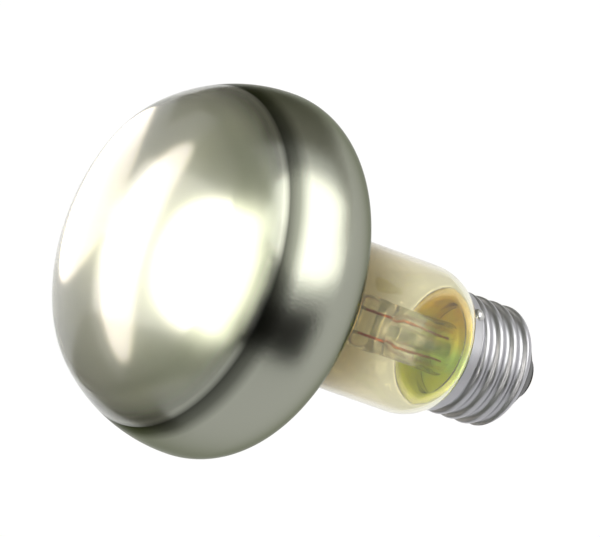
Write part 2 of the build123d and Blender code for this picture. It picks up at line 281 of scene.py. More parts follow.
def bulb_outline(sizes, inset):
    """Half section of the bulb's surface, inset below the outside, from the seal to the front pole."""
    ledge = shell_high.z + sizes.rim_gap
    heel_r = sizes.neck_radius - sizes.shoulder_radius
    heel_r += (sizes.shoulder_radius - sizes.heel_radius) * math.cos(sizes.shoulder_turn)
    heel_z = ledge + sizes.heel_radius
    shoulder_r = sizes.neck_radius - sizes.shoulder_radius
    shoulder_z = heel_z + (sizes.shoulder_radius - sizes.heel_radius) * math.sin(sizes.shoulder_turn)
    neck_top = shoulder_z + sizes.neck_length

    head_radius = envelope_high.x
    edge_r = head_radius - sizes.edge_radius
    back_r = edge_r - (sizes.back_radius - sizes.edge_radius) * math.sin(sizes.back_turn)
    root_r = sizes.neck_radius + sizes.root_fillet
    reach = sizes.back_radius + sizes.root_fillet
    meet = math.asin((root_r - back_r) / reach)
    back_z = neck_top + reach * math.cos(meet)
    head_z = back_z - (sizes.back_radius - sizes.edge_radius) * math.cos(sizes.back_turn)

    flank_r = head_radius - sizes.flank_radius
    front_edge_r = flank_r + (sizes.flank_radius - sizes.front_edge_radius) * math.sin(sizes.flank_turn)
    front_edge_z = head_z + (sizes.flank_radius - sizes.front_edge_radius) * math.cos(sizes.flank_turn)
    front_turn = math.asin(front_edge_r / (sizes.front_radius - sizes.front_edge_radius))
    front_z = front_edge_z - (sizes.front_radius - sizes.front_edge_radius) * math.cos(front_turn)

    fillet_r = sizes.seal_radius + sizes.seal_fillet
    shoulder_angle = math.degrees(sizes.shoulder_turn)
    meet_angle = math.degrees(meet)
    back_angle = math.degrees(sizes.back_turn)
    flank_angle = 90 - math.degrees(sizes.flank_turn)
    front_angle = 90 - math.degrees(front_turn)
    return [
        (sizes.seal_radius - inset, envelope_low.z),
        *arc((fillet_r, ledge - sizes.seal_fillet), sizes.seal_fillet + inset, 180, 90, 8),
        *arc((heel_r, heel_z), sizes.heel_radius - inset, -90, -shoulder_angle, 10),
        *arc((shoulder_r, shoulder_z), sizes.shoulder_radius - inset, -shoulder_angle, 0, 16)[1:],
        *[(sizes.neck_radius - inset, shoulder_z + sizes.neck_length * i / 12) for i in range(1, 12)],
        *arc((root_r, neck_top), sizes.root_fillet + inset, 180, 90 + meet_angle, 16),
        *arc((back_r, back_z), sizes.back_radius - inset, meet_angle - 90, back_angle - 90, 14)[1:],
        *arc((edge_r, head_z), sizes.edge_radius - inset, back_angle - 90, 0, 20)[1:],
        *arc((flank_r, head_z), sizes.flank_radius - inset, 0, flank_angle, 24)[1:],
        *arc((front_edge_r, front_edge_z), sizes.front_edge_radius - inset,
             flank_angle, front_angle, 12)[1:],
        *arc((0, front_z), sizes.front_radius - inset, front_angle, 90, 24)[1:],
    ]


def flare_bell(seal_r, offset):
    """Curve of the flare's mouth from its lip up, at an offset below the upper side of its glass."""
    centre = (seal_r - FLARE_LIP, envelope_low.z + FLARE_BELL)
    return arc(centre, FLARE_BELL + offset, -90, FLARE_TURN, 12)


def ease(share):
    """Share held between 0 and 1 that starts and ends gently."""
    share = min(max(share, 0.0), 1.0)
    return share * share * (3 - 2 * share)


def spin_profile(bm, points, steps):
    """Spins a chain of (radius, height) points about Z and returns the faces that it made."""
    before = set(bm.faces)
    chain = [bm.verts.new((max(r, 0.0), 0, z)) for r, z in points]
    edges = [bm.edges.new(pair) for pair in zip(chain, chain[1:])]
    bmesh.ops.spin(
        bm, geom=chain + edges, cent=(0, 0, 0), axis=(0, 0, 1), angle=TURN, steps=steps, use_merge=True)
    return [f for f in bm.faces if f not in before]


def shade_smooth(bm):
    """Smooths the shading of every face."""
    for face in bm.faces:
        face.smooth = True


def tidy_mesh(bm):
    """Merges doubles, drops flattened faces, turns the normals outwards and smooths the shading."""
    bmesh.ops.remove_doubles(bm, verts=bm.verts, dist=MERGE)
    bmesh.ops.dissolve_degenerate(bm, edges=bm.edges, dist=FLAT)
    bmesh.ops.recalc_face_normals(bm, faces=bm.faces)
    shade_smooth(bm)


def new_piece(name, bm, materials, slot, *nodes):
    """Turns a bmesh into a finished piece that rides on the lamp and stands for CAD nodes."""
    mesh = bpy.data.meshes.new(name)
    bm.to_mesh(mesh)
    bm.free()
    for material in materials:
        mesh.materials.append(material)
    piece = bpy.data.objects.new(name, mesh)
    bpy.context.scene.collection.objects.link(piece)
    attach(piece, "root")
    if nodes:
        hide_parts(*nodes)
    return piece


def clear_neck_glass(colour):
    """Soda-lime glass, blown: clear with a warm tint, paler near the seal, and with painted shade darkening it
    towards the head.
    """
    material, tree = new_material("clear_blown_neck_glass")
    where = object_coordinates(tree)
    waves = noise_value(tree, where, 9 * MM, 2.0)
    height = remap(tree, coordinate(tree, where, "Z"), (NECK_SHADE_LOW, NECK_SHADE_HIGH))
    # Painted shade: pale near the seal, the neck's tint in the middle, and darker brown towards the head.
    tint_and_shade = colour_ramp(tree, height, ((0.0, "#ECEBD4"), (0.45, colour), (1.0, "#8C8059")), "EASE")
    set_surface(tree, principled(tree, {
        "Transmission Weight": 1.0, "IOR": GLASS_IOR, "Roughness": 0.0,
    }, {"Base Color": tint_and_shade, "Normal": bump_normal(tree, waves, 0.05, 0.3 * MM)}))
    return material


def thinning_coat_with_painted_edge(tree, where, glass, colour, roughness, top):
    """Glass with the coating's metal on it, which thins out from the mirror's end up to a height; the metal is
    painted dark where it starts, a painted shade along the window's edge.
    """
    height = remap(tree, coordinate(tree, where, "Z"), (THINNING_START, top))
    share = colour_ramp(tree, height, ((0.0, "#FFFFFF"), (1.0, "#000000")), "EASE")
    # Painted shade: the metal is near black at the mirror's end and only takes the coating's colour a little
    # way up.
    shade = colour_ramp(tree, height, ((0.0, "#3A3B35"), (0.3, colour)))
    metal = principled(tree, {"Metallic": 1.0, "Roughness": roughness}, {"Base Color": shade})
    return mix_shaders(tree, share, glass, metal)


def window_glass(colour):
    """Soda-lime glass, blown: the glossy outside of the window, which turns into the coating's metal near the
    mirror, painted dark there as painted shade.
    """
    material, tree = new_material("blown_window_glass")
    where = object_coordinates(tree)
    waves = noise_value(tree, where, 14 * MM, 1.0)
    glass = principled(tree, {
        "Base Color": linear("#E2E5DA"), "Transmission Weight": 1.0, "IOR": GLASS_IOR, "Roughness": 0.14,
    }, {"Normal": bump_normal(tree, waves, 0.04, 0.3 * MM)})
    set_surface(tree, thinning_coat_with_painted_edge(tree, where, glass, colour, 0.2, THINNED_OUTSIDE))
    return material


def frosted_glass(colour):
    """Glass etched lightly inside the window, which blurs what the mirror shows, and turns into the coating's
    metal near the mirror, painted dark there as painted shade.
    """
    material, tree = new_material("etched_window_glass")
    where = object_coordinates(tree)
    grain = noise_value(tree, where, 1.2 * MM, 4.0)
    glass = principled(tree, {
        "Base Color": linear("#E2E5DA"), "Transmission Weight": 1.0, "IOR": GLASS_IOR,
    }, {"Roughness": remap(tree, grain, (0.0, 1.0), (0.27, 0.35))})
    set_surface(tree, thinning_coat_with_painted_edge(tree, where, glass, colour, 0.25, THINNED_INSIDE))
    return material


def outer_coating(colour):
    """Vaporised aluminium inside the glass, seen from outside: satin metal, with painted shade darkening it to
    a dark edge at the window.
    """
    material, tree = new_material("aluminium_coating_under_glass")
    where = object_coordinates(tree)
    height = remap(tree, coordinate(tree, where, "Z"), (COAT_LOW, COAT_HIGH))
    # Golden towards the neck, the coating's colour over the head, then painted shade: darker over the last few
    # millimetres below the window.
    shade = colour_ramp(tree, height, (
        (0.0, "#B59A63"), (0.22, "#A8A184"), (0.4, colour),
        (0.86, colour), (0.93, "#5C5E55"), (1.0, "#34352F"),
    ))
    grain = noise_value(tree, where, 0.55 * MM, 5.0, 0.7)
    cloud = noise_value(tree, where, 18 * MM, 3.0)
    set_surface(tree, principled(tree, {
        "Metallic": 1.0, "Specular Tint": linear("#A6A99E"),
    }, {"Base Color": shade, "Normal": bump_normal(tree, grain, 0.5, 0.05 * MM),
        "Roughness": remap(tree, cloud, (0.0, 1.0), (0.2, 0.26))}))
    return material


def inner_mirror(colour):
    """Vaporised aluminium seen from inside: a clean mirror on blown glass."""
    material, tree = new_material("aluminium_mirror_inside")
    set_surface(tree, principled(tree, {"Base Color": linear(colour), "Metallic": 1.0, "Roughness": 0.1}))
    return material


def stem_glass(name, alpha):
    """Lead-free stem glass, drawn and pinched: clear, a little ripply from the press jaws.

    Thin walls one inside the other hardly bend what is seen through them, so part of the light
    passes straight through: the lower the alpha, the thinner the wall it stands for.
    """
    material, tree = new_material(name)
    waves = noise_value(tree, object_coordinates(tree), 2.5 * MM, 2.0)
    set_surface(tree, principled(tree, {
        "Base Color": linear("#FCFDFA"), "Transmission Weight": 1.0, "IOR": STEM_IOR, "Roughness": 0.0,
        "Alpha": alpha,
    }, {"Normal": bump_normal(tree, waves, 0.2, 0.2 * MM)}))
    return material


def drawn_wire(name, colour, roughness, spot=0.3 * MM):
    """Drawn wire or stamped brass: metal with fine uneven brightness."""
    material, tree = new_material(name)
    streak = noise_value(tree, object_coordinates(tree), spot, 2.0)
    rough = remap(tree, streak, (0.0, 1.0), (roughness * 0.7, roughness * 1.3))
    set_surface(tree, principled(
        tree, {"Base Color": linear(colour), "Metallic": 1.0}, {"Roughness": rough}))
    return material


def rolled_aluminium(colour):
    """Aluminium sheet, drawn and rolled: bright, with fine scuffs round the thread."""
    material, tree = new_material("rolled_bright_aluminium")
    squeeze = add_node(
        tree, "ShaderNodeMapping", {"Scale": (1.0, 1.0, 6.0)}, {"Vector": object_coordinates(tree)})
    scuff = noise_value(tree, squeeze.outputs["Vector"], 1.6 * MM, 5.0, 0.65)
    set_surface(tree, principled(tree, {"Base Color": linear(colour), "Metallic": 1.0}, {
        "Roughness": remap(tree, scuff, (0.3, 0.7), (0.28, 0.48)),
        "Normal": bump_normal(tree, scuff, 0.12, 0.05 * MM)}))
    return material


def baked_cement(warm, cool):
    """Phenolic marble-flour cement, baked: its green dye turns yellow where it gets hottest, towards +X."""
    material, tree = new_material("baked_basing_cement")
    where = object_coordinates(tree)
    mottle = noise_value(tree, where, 4 * MM, 4.0)
    side = remap(tree, coordinate(tree, where, "X"), (-9 * MM, 9 * MM))
    mixed = add_node(tree, "ShaderNodeMath", {"operation": "MULTIPLY_ADD", 1: 0.6, 2: -0.3}, {0: mottle})
    heat = add_node(tree, "ShaderNodeMath", {"operation": "ADD", "use_clamp": True},
                    {0: side, 1: mixed.outputs["Value"]})
    shade = colour_ramp(tree, heat.outputs["Value"], (
        (0.1, "#EAF25A"), (0.42, cool), (0.7, "#F2E45E"), (0.95, warm)))
    grit = noise_value(tree, where, 0.4 * MM, 3.0)
    set_surface(tree, principled(tree, {"Roughness": 0.75}, {
        "Base Color": shade, "Normal": bump_normal(tree, grit, 0.5, 0.15 * MM)}))
    return material


def black_glass():
    """Moulded black glass: deep black with a soft sheen, duller where it was scraped."""
    material, tree = new_material("moulded_black_glass")
    scrape = noise_value(tree, object_coordinates(tree), 1.5 * MM, 4.0)
    set_surface(tree, principled(tree, {
        "Base Color": linear("#050506"), "IOR": GLASS_IOR, "Specular IOR Level": 0.12,
    }, {"Roughness": remap(tree, scrape, (0.0, 1.0), (0.3, 0.5)),
        "Normal": bump_normal(tree, scrape, 0.15, 0.1 * MM)}))
    return material


def soft_solder():
    """Tin solder, cast from a drop: satin grey with small pits."""
    material, tree = new_material("cast_tin_solder")
    pits = noise_value(tree, object_coordinates(tree), 0.7 * MM, 4.0)
    set_surface(tree, principled(tree, {"Base Color": linear("#BCBCBA"), "Metallic": 1.0}, {
        "Roughness": remap(tree, pits, (0.0, 1.0), (0.2, 0.42)),
        "Normal": bump_normal(tree, pits, 0.35, 0.12 * MM)}))
    return material


class LAMP_OT_bulb(bpy.types.Operator):
    """Blow the bulb: clear neck, mirrored head and lightly frosted window in one closed shell."""
    bl_idname = "lamp.bulb"
    bl_label = "Glass bulb"

    def execute(self, context):
        sizes = context.scene.lamp_bulb
        finish = context.scene.lamp_finish
        outer = bulb_outline(sizes, 0)
        inner = bulb_outline(sizes, sizes.wall)
        bm = bmesh.new()
        for inside, outline in enumerate(([inner[0], *outer], inner)):
            for face in spin_profile(bm, outline, BULB_STEPS):
                face.material_index = self.zone(sizes, face.calc_center_median().z, inside)
        tidy_mesh(bm)
        materials = [
            clear_neck_glass(finish.neck_colour),
            window_glass(finish.coat_colour), frosted_glass(finish.coat_colour),
            outer_coating(finish.coat_colour), inner_mirror(finish.mirror_colour),
        ]
        new_piece("blown_bulb", bm, materials, "envelope_glass", "glass_envelope")
        return {"FINISHED"}

    @staticmethod
    def zone(sizes, height, inside):
        """Material index of a face: 0 clear neck, 1 and 2 window, 3 and 4 mirror, outside and inside."""
        if height < sizes.coat_height:
            return 0
        if height > sizes.window_height - inside * sizes.wall:
            return 1 + inside
        return 3 + inside


def thread_height(sizes, angle, z):
    """How far the rolled thread stands out of the core at a place on the shell."""
    turns = (z - sizes.phase) / sizes.pitch - angle / TURN
    offset = abs(turns - round(turns)) * sizes.pitch
    half = sizes.pitch / 2
    arc_r = (sizes.depth ** 2 + half ** 2) / (4 * sizes.depth)
    crest_r = sizes.major / 2 - arc_r
    root_r = sizes.major / 2 - sizes.depth + arc_r
    if offset < half / 2:
        return crest_r + math.sqrt(arc_r ** 2 - offset ** 2)
    return root_r - math.sqrt(arc_r ** 2 - (half - offset) ** 2)


class ShellSizes(bpy.types.PropertyGroup):
    """The rolled screw shell."""
    major: FloatProperty(
        name="Crest diameter", description="Over the crests", default=26.35 * MM, unit="LENGTH")
    depth: FloatProperty(name="Depth", description="From crest to root", default=1.09 * MM, unit="LENGTH")
    pitch: FloatProperty(name="Pitch", description="From crest to crest", default=3.629 * MM, unit="LENGTH")
    phase: FloatProperty(
        name="Phase", description="Height of a crest on the +X side", default=5.8 * MM, unit="LENGTH")
    sheet: FloatProperty(name="Sheet", description="Thickness of the metal", default=0.3 * MM, unit="LENGTH")
    collar: FloatProperty(
        name="Collar", description="Height of the plain collar", default=2.6 * MM, unit="LENGTH")
    end_round: FloatProperty(
        name="End round", description="Round at the closed end", default=3.2 * MM, unit="LENGTH")
    end_turn: FloatProperty(
        name="End turn", description="How far the end turns in", default=math.radians(65), subtype="ANGLE")
    blend: FloatProperty(
        name="Run-out", description="Height over which the thread fades into the collar",
        default=0.9 * MM, unit="LENGTH")


class LAMP_OT_shell(bpy.types.Operator):
    """Roll the screw shell from thin sheet, with the thread running out in the collar."""
    bl_idname = "lamp.shell"
    bl_label = "Screw shell"

    def execute(self, context):
        sizes = context.scene.lamp_shell
        finish = context.scene.lamp_finish
        low, high = shell_low.z, shell_high.z
        collar_r = shell_high.x
        end_z = low + sizes.end_round * math.sin(sizes.end_turn)
        end_r = collar_r - sizes.end_round
        rows = [low + (high - low) * i / SHELL_ROWS for i in range(SHELL_ROWS + 1)]
        skin = [(self.limit(sizes, end_r, end_z, z), z) for z in rows]
        bm = bmesh.new()
        spin_profile(bm, skin, SHELL_STEPS)
        bmesh.ops.remove_doubles(bm, verts=bm.verts, dist=SHELL_MERGE)
        for vertex in bm.verts:
            angle = math.atan2(vertex.co.y, vertex.co.x)
            z = vertex.co.z
            share = ease(0.5 + (high - sizes.collar - z) / sizes.blend)
            rolled = thread_height(sizes, angle, z)
            radius = min(self.limit(sizes, end_r, end_z, z), collar_r + (rolled - collar_r) * share)
            vertex.co = Vector((radius * math.cos(angle), radius * math.sin(angle), z))
        bmesh.ops.recalc_face_normals(bm, faces=bm.faces)
        self.face_outwards(bm)
        bmesh.ops.solidify(bm, geom=bm.faces, thickness=sizes.sheet)
        bmesh.ops.remove_doubles(bm, verts=bm.verts, dist=SHELL_MERGE)
        shade_smooth(bm)
        aluminium = rolled_aluminium(finish.shell_colour)
        new_piece("rolled_screw_shell", bm, [aluminium], "shell_sheet", "screw_shell")
        return {"FINISHED"}

    @staticmethod
    def face_outwards(bm):
        """Turns the skin's faces away from the axis."""
        face = next(iter(bm.faces))
        middle = face.calc_center_median()
        if face.normal.x * middle.x + face.normal.y * middle.y < 0:
            bmesh.ops.reverse_faces(bm, faces=bm.faces)

    @staticmethod
    def limit(sizes, end_r, end_z, z):
        """Largest radius of the shell at a height, rounded in at its end."""
        drop = min(max(end_z - z, 0.0), sizes.end_round * math.sin(sizes.end_turn))
        return end_r + math.sqrt(sizes.end_round ** 2 - drop ** 2)


class LAMP_OT_cap_end(bpy.types.Operator):
    """Mould the black insulator and set the eyelet and its solder in it."""
    bl_idname = "lamp.cap_end"
    bl_label = "Insulator and centre contact"

    round_over: FloatProperty(
        name="Edge round", description="Round on the boss", default=0.35 * MM, unit="LENGTH")
    boss_radius: FloatProperty(
        name="Boss radius", description="Boss at the tip", default=5 * MM, unit="LENGTH")
    boss_height: FloatProperty(
        name="Boss height", description="Straight part of the boss", default=0.5 * MM, unit="LENGTH")
    mouth_radius: FloatProperty(
        name="Mouth radius", description="Where the cone leaves the shell", default=11.38 * MM, unit="LENGTH")

    def execute(self, context):
        solder = soft_solder()
        self.insulator()
        self.eyelet()
        self.tip(solder)
        self.bump(solder)
        return {"FINISHED"}

    def insulator(self):
        """Black glass cone, held by its seat in the end of the shell."""
        low, high = insulator_low.z, insulator_high.z
        foot = shell_low.z
        seat_r = insulator_high.x
        seat_z = foot + 0.9 * MM
        boss_r = self.boss_radius
        boss_top = low + self.boss_height
        mouth_r = self.mouth_radius
        r = self.round_over
        hole_r = 1.52 * MM
        hollow_r = 3.2 * MM
        hollow_z = low + 2.4 * MM
        rim = 2 * MM
        boss = [(hole_r, low), (boss_r - r, low), *arc((boss_r - r, low + r), r, -90, 0, 6), (boss_r, boss_top)]
        cone = [(boss_r + 0.25 * MM, boss_top + 0.12 * MM), (mouth_r - 0.5 * MM, foot - 0.55 * MM),
                (mouth_r, foot - 0.02 * MM), (mouth_r - 0.02 * MM, foot + 0.35 * MM)]
        seat = [(seat_r, seat_z), (seat_r, high), (seat_r - rim, high)]
        hollow = [(hollow_r, hollow_z), (hole_r, hollow_z), (hole_r, low)]
        bm = bmesh.new()
        spin_profile(bm, [*boss, *cone, *seat, *hollow], ROUND_STEPS)
        tidy_mesh(bm)
        new_piece("moulded_insulator", bm, [black_glass()], "black_glass", "insulator")

    def eyelet(self):
        """Brass disc with a barrel that stands in the insulator's hole."""
        brass = drawn_wire("stamped_brass", "#B79C62", 0.3, 1.2 * MM)
        low, high = contact_low.z, contact_high.z
        disc_r = contact_high.x
        disc_top = low + 0.45 * MM
        edge = 0.2 * MM
        barrel_r = 1.5 * MM
        bore_r = 0.9 * MM
        bm = bmesh.new()
        spin_profile(bm, [
            (bore_r, low), (disc_r - edge, low), *arc((disc_r - edge, low + edge), edge, -90, 0, 5),
            (disc_r, disc_top), (barrel_r, disc_top), (barrel_r, high), (bore_r, high), (bore_r, low),
        ], EYELET_STEPS)
        tidy_mesh(bm)
        new_piece("stamped_eyelet", bm, [brass], "contact_brass", "centre_contact")

    def tip(self, solder):
        """Flattened drop of solder on the eyelet, with its plug up the bore."""
        low, high = solder_low.z, solder_high.z
        plug_r = 0.88 * MM
        drop = [(1.9 * MM, low), (2.25 * MM, low + 0.08 * MM), (2.6 * MM, low + 0.26 * MM)]
        bm = bmesh.new()
        spin_profile(bm, [
            (0, low), *drop, (2.7 * MM, contact_low.z), (plug_r, contact_low.z),
            (plug_r, high - 0.2 * MM), (0, high),
        ], SOLDER_STEPS)
        tidy_mesh(bm)
        new_piece("tip_solder", bm, [solder], "solder", "centre_solder")

    def bump(self, solder):
        """Lumpy drop of solder that holds the side lead to the collar."""
        sunk = 0.15 * MM
        size = Matrix.Diagonal((1.45 * MM, 1.0 * MM, 1.35 * MM, 1.0))
        centre = (bump_low + bump_high) / 2
        outward = Vector((centre.x, centre.y, 0)).normalized()
        root = outward * (shell_high.x - sunk)
        root.z = centre.z
        bm = bmesh.new()
        bmesh.ops.create_icosphere(bm, subdivisions=4, radius=1.0)
        for vertex in bm.verts:
            vertex.co *= 1 + 0.12 * noise.noise(vertex.co * 1.7) + 0.04 * noise.noise(vertex.co * 5)
        along = outward.cross(Vector((0, 0, 1)))
        axes = Matrix((along, outward, Vector((0, 0, 1)))).transposed().to_4x4()
        bmesh.ops.transform(bm, matrix=Matrix.Translation(root) @ axes @ size, verts=bm.verts)
        tidy_mesh(bm)
        new_piece("collar_solder", bm, [solder], "solder", "side_solder")


class LAMP_OT_stem(bpy.types.Operator):
    """Draw the stem: flare and pinched press, exhaust tube, and the rod with its button."""
    bl_idname = "lamp.stem"
    bl_label = "Stem"

    wall: FloatProperty(
        name="Flare wall", description="Glass of the flare", default=FLARE_WALL, unit="LENGTH")
    tube_radius: FloatProperty(
        name="Tube radius", description="Flare's tube", default=5.6 * MM, unit="LENGTH")
    tube_height: FloatProperty(
        name="Tube height", description="From the seal to the press", default=17.6 * MM, unit="LENGTH")
    press_neck: FloatProperty(
        name="Press neck", description="Where the tube is pinched flat", default=3.4 * MM, unit="LENGTH")
    press_width: FloatProperty(name="Press width", description="Along X", default=11.6 * MM, unit="LENGTH")
    press_depth: FloatProperty(name="Press depth", description="Along Y", default=4.2 * MM, unit="LENGTH")

    def execute(self, context):
        glass = stem_glass("drawn_stem_glass", 0.8)
        self.flare(glass, context.scene.lamp_bulb.seal_radius)
        self.exhaust_tube()
        self.rod(glass)
        return {"FINISHED"}

    def flare(self, glass, seal_r):
        """Tube, opened to a bell at the seal and pinched flat round the leads at its top."""
        seal = envelope_low.z
        start = seal + self.tube_height
        pinch = start + self.press_neck
        top = stem_high.z
        tube_r = self.tube_radius
        inner_r = tube_r - self.wall
        throat, inner_throat = seal + 9 * MM, seal + 8.2 * MM
        crown_r = 1.8 * MM
        outer_wall = [(seal_r, seal), *flare_bell(seal_r, 0), (tube_r, throat), (tube_r, start)]
        inner_wall = [(inner_r, start), (inner_r, inner_throat), *reversed(flare_bell(seal_r, self.wall)),
                      (seal_r, seal - self.wall)]
        body = [(tube_r, start + (top - crown_r - start) * i / 14) for i in range(1, 15)]
        crown = arc((tube_r - crown_r, top - crown_r), crown_r, 0, 90, 8)[1:]
        bm = bmesh.new()
        spin_profile(bm, [(0, start), *inner_wall, *outer_wall, *body, *crown, (0, top)], ROUND_STEPS)
        for vertex in bm.verts:
            if vertex.co.z > start + 0.01 * MM:
                share = ease((vertex.co.z - start) / (pinch - start))
                angle = math.atan2(vertex.co.y, vertex.co.x)
                radius = math.hypot(vertex.co.x, vertex.co.y) / tube_r
                flat_x = radius * self.press_width / 2 * self.squared(math.cos(angle))
                flat_y = radius * self.press_depth / 2 * self.squared(math.sin(angle))
                vertex.co.x += (flat_x - vertex.co.x) * share
                vertex.co.y += (flat_y - vertex.co.y) * share
        tidy_mesh(bm)
        new_piece("flared_stem", bm, [glass], "stem_glass", "flare_stem")

    @staticmethod
    def squared(part):
        """Cosine or sine, bent so that the press is squarer than an ellipse."""
        return math.copysign(abs(part) ** 0.8, part)

    def exhaust_tube(self):
        """Thin tube, tipped off round at its lower end."""
        tube_r = tube_high.x
        bore = tube_r - 0.5 * MM
        tip = tube_low.z + tube_r
        bm = bmesh.new()
        spin_profile(bm, [
            *arc((0, tip), tube_r, -90, 0, 10), (tube_r, tube_high.z), (bore, tube_high.z),
            *arc((0, tip), bore, 0, -90, 10),
        ], ROD_STEPS)
        tidy_mesh(bm)
        glass = stem_glass("thin_tube_glass", 0.3)
        new_piece("tipped_exhaust_tube", bm, [glass], "stem_glass", "exhaust_tube")

    def rod(self, glass):
        """Glass rod with the swollen button that the hooks are set in."""
        rod_r = 1.5 * MM
        swell = 1.1 * MM
        button = 3.2 * MM
        button_low = rod_high.z - button
        shaft_top = (button_low + rod_high.z) / 2 - 3 * MM
        bulge = [(rod_r + swell * math.sin(math.pi * i / 12) ** 0.8, button_low + button * i / 12)
                 for i in range(13)]
        bm = bmesh.new()
        spin_profile(bm, [
            (0, rod_low.z), (rod_r, rod_low.z), (rod_r, shaft_top), *bulge, (0, rod_high.z),
        ], ROD_STEPS)
        tidy_mesh(bm)
        new_piece("rod_and_button", bm, [glass], "stem_glass", "button_rod")


class LAMP_OT_wires(bpy.types.Operator):
    """Finish the leads and supports, and wind the filament's coil."""
    bl_idname = "lamp.wires"
    bl_label = "Wires and filament"

    turns: IntProperty(name="Turns", description="Turns of the coil", default=90)
    coil_radius: FloatProperty(
        name="Coil radius", description="Middle of the wire", default=0.36 * MM, unit="LENGTH")
    wire_radius: FloatProperty(
        name="Wire radius", description="Tungsten wire", default=0.075 * MM, unit="LENGTH")

    def execute(self, context):
        nickel = drawn_wire("nickel_plated_wire", "#A9A69C", 0.28)
        copper = drawn_wire("dumet_copper_wire", "#A8553A", 0.3)
        molybdenum = drawn_wire("molybdenum_wire", "#8E8E8E", 0.3)
        finishes = {"inner_lead": nickel, "outer_lead": copper, "dumet": copper, "support_wire": molybdenum}
        for name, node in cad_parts.items():
            for start, material in finishes.items():
                if name.startswith(start):
                    node.data.materials.clear()
                    node.data.materials.append(material)
        bm = self.swept(self.coil_path())
        bmesh.ops.recalc_face_normals(bm, faces=bm.faces)
        shade_smooth(bm)
        tungsten = drawn_wire("wound_tungsten_wire", "#6F6F72", 0.35)
        new_piece("wound_filament", bm, [tungsten], "tungsten", "filament")
        return {"FINISHED"}

    def coil_path(self):
        """Points along the coil, wound round a half loop on the -Y side."""
        per_turn = 12
        count = self.turns * per_turn
        end_gap = 0.05
        loop_r = filament_high.x - 0.05 * MM
        centre_z = (filament_low.z + filament_high.z) / 2
        points = []
        for i in range(count + 1):
            along = math.pi + end_gap + (math.pi - 2 * end_gap) * i / count
            around = TURN * i / per_turn
            r = loop_r + self.coil_radius * math.cos(around)
            z = centre_z + self.coil_radius * math.sin(around)
            points.append((r * math.cos(along), r * math.sin(along), z))
        return points

    def swept(self, points):
        """Mesh of the round wire along a path."""
        curve = bpy.data.curves.new("coil_path", "CURVE")
        curve.dimensions = "3D"
        curve.bevel_depth = self.wire_radius
        curve.bevel_resolution = 1
        curve.use_fill_caps = True
        spline = curve.splines.new("POLY")
        spline.points.add(len(points) - 1)
        for point, place in zip(spline.points, points):
            point.co = (*place, 1.0)
        holder = bpy.data.objects.new("coil_path", curve)
        bpy.context.scene.collection.objects.link(holder)
        bpy.context.view_layer.update()
        evaluated = holder.evaluated_get(bpy.context.evaluated_depsgraph_get())
        mesh = bpy.data.meshes.new_from_object(evaluated)
        bm = bmesh.new()
        bm.from_mesh(mesh)
        bpy.data.objects.remove(holder)
        bpy.data.curves.remove(curve)
        bpy.data.meshes.remove(mesh)
        return bm


class LAMP_OT_cement(bpy.types.Operator):
    """Pack the basing cement between the neck and the shell and up into the flare's mouth."""
    bl_idname = "lamp.cement"
    bl_label = "Basing cement"

    wetting: FloatProperty(
        name="Wetting", description="How far the cement's skin lies in the glass that it wets",
        default=0.05 * MM, unit="LENGTH")
    bore: FloatProperty(name="Bore", description="Inside of the thread", default=11.7 * MM, unit="LENGTH")
    step: FloatProperty(
        name="Step", description="Where the collar widens", default=21.6 * MM, unit="LENGTH")
    mouth: FloatProperty(
        name="Mouth", description="Radius at the exhaust tube", default=2 * MM, unit="LENGTH")

    def execute(self, context):
        finish = context.scene.lamp_finish
        bulb = context.scene.lamp_bulb
        skin = self.wetting
        seal_r = bulb.seal_radius
        fillet = bulb.seal_fillet
        fillet_z = shell_high.z + bulb.rim_gap - fillet
        flare = flare_bell(seal_r, FLARE_WALL - skin)
        bm = bmesh.new()
        spin_profile(bm, [
            (self.mouth, cement_low.z), (self.bore, cement_low.z), (self.bore, self.step),
            (cement_high.x, self.step), (cement_high.x, cement_high.z),
            *arc((seal_r + fillet, fillet_z), fillet + skin, 90, 180, 6)[1:],
            (seal_r - skin, stem_low.z + skin), *flare,
            (self.mouth, flare[-1][1]), (self.mouth, cement_low.z),
        ], ROUND_STEPS)
        tidy_mesh(bm)
        cement = baked_cement(finish.cement_warm, finish.cement_cool)
        new_piece("packed_cement", bm, [cement], "cement", "basing_cement")
        return {"FINISHED"}


def area_light(name, place, target, size, power, colour, shape="RECTANGLE"):
    """Soft area lamp of (width, height) that looks at a point."""
    light = bpy.data.lights.new(name, "AREA")
    light.energy = power
    light.color = linear(colour)[:3]
    light.shape = shape
    light.size, light.size_y = size
    lamp = bpy.data.objects.new(name, light)
    lamp.location = place
    lamp.rotation_euler = (target - place).to_track_quat("-Z", "Y").to_euler()
    bpy.context.scene.collection.objects.link(lamp)
    return lamp


def flat_sheet(name, half, matrix, shader_of):
    """Square sheet of the stage, laid by a matrix, with a material whose shader a function makes."""
    bm = bmesh.new()
    bmesh.ops.create_grid(bm, x_segments=1, y_segments=1, size=half)
    bmesh.ops.transform(bm, matrix=matrix, verts=bm.verts)
    mesh = bpy.data.meshes.new(name)
    bm.to_mesh(mesh)
    bm.free()
    material, tree = new_material(name + "_paper")
    set_surface(tree, shader_of(tree))
    mesh.materials.append(material)
    piece = bpy.data.objects.new(name, mesh)
    bpy.context.scene.collection.objects.link(piece)
    return piece


def card(name, place, target, width, height, colour):
    """Studio card beside the set: only the polished surfaces see it."""
    turn = (target - place).to_track_quat("Z", "Y").to_matrix().to_4x4()
    size = Matrix.Diagonal((width, height, 1.0, 1.0))
    piece = flat_sheet(
        name, 0.5, Matrix.Translation(place) @ turn @ size,
        lambda tree: add_node(tree, "ShaderNodeBsdfDiffuse", {"Color": linear(colour)}))
    piece.visible_camera = False
    piece.visible_diffuse = False
    piece.visible_shadow = False


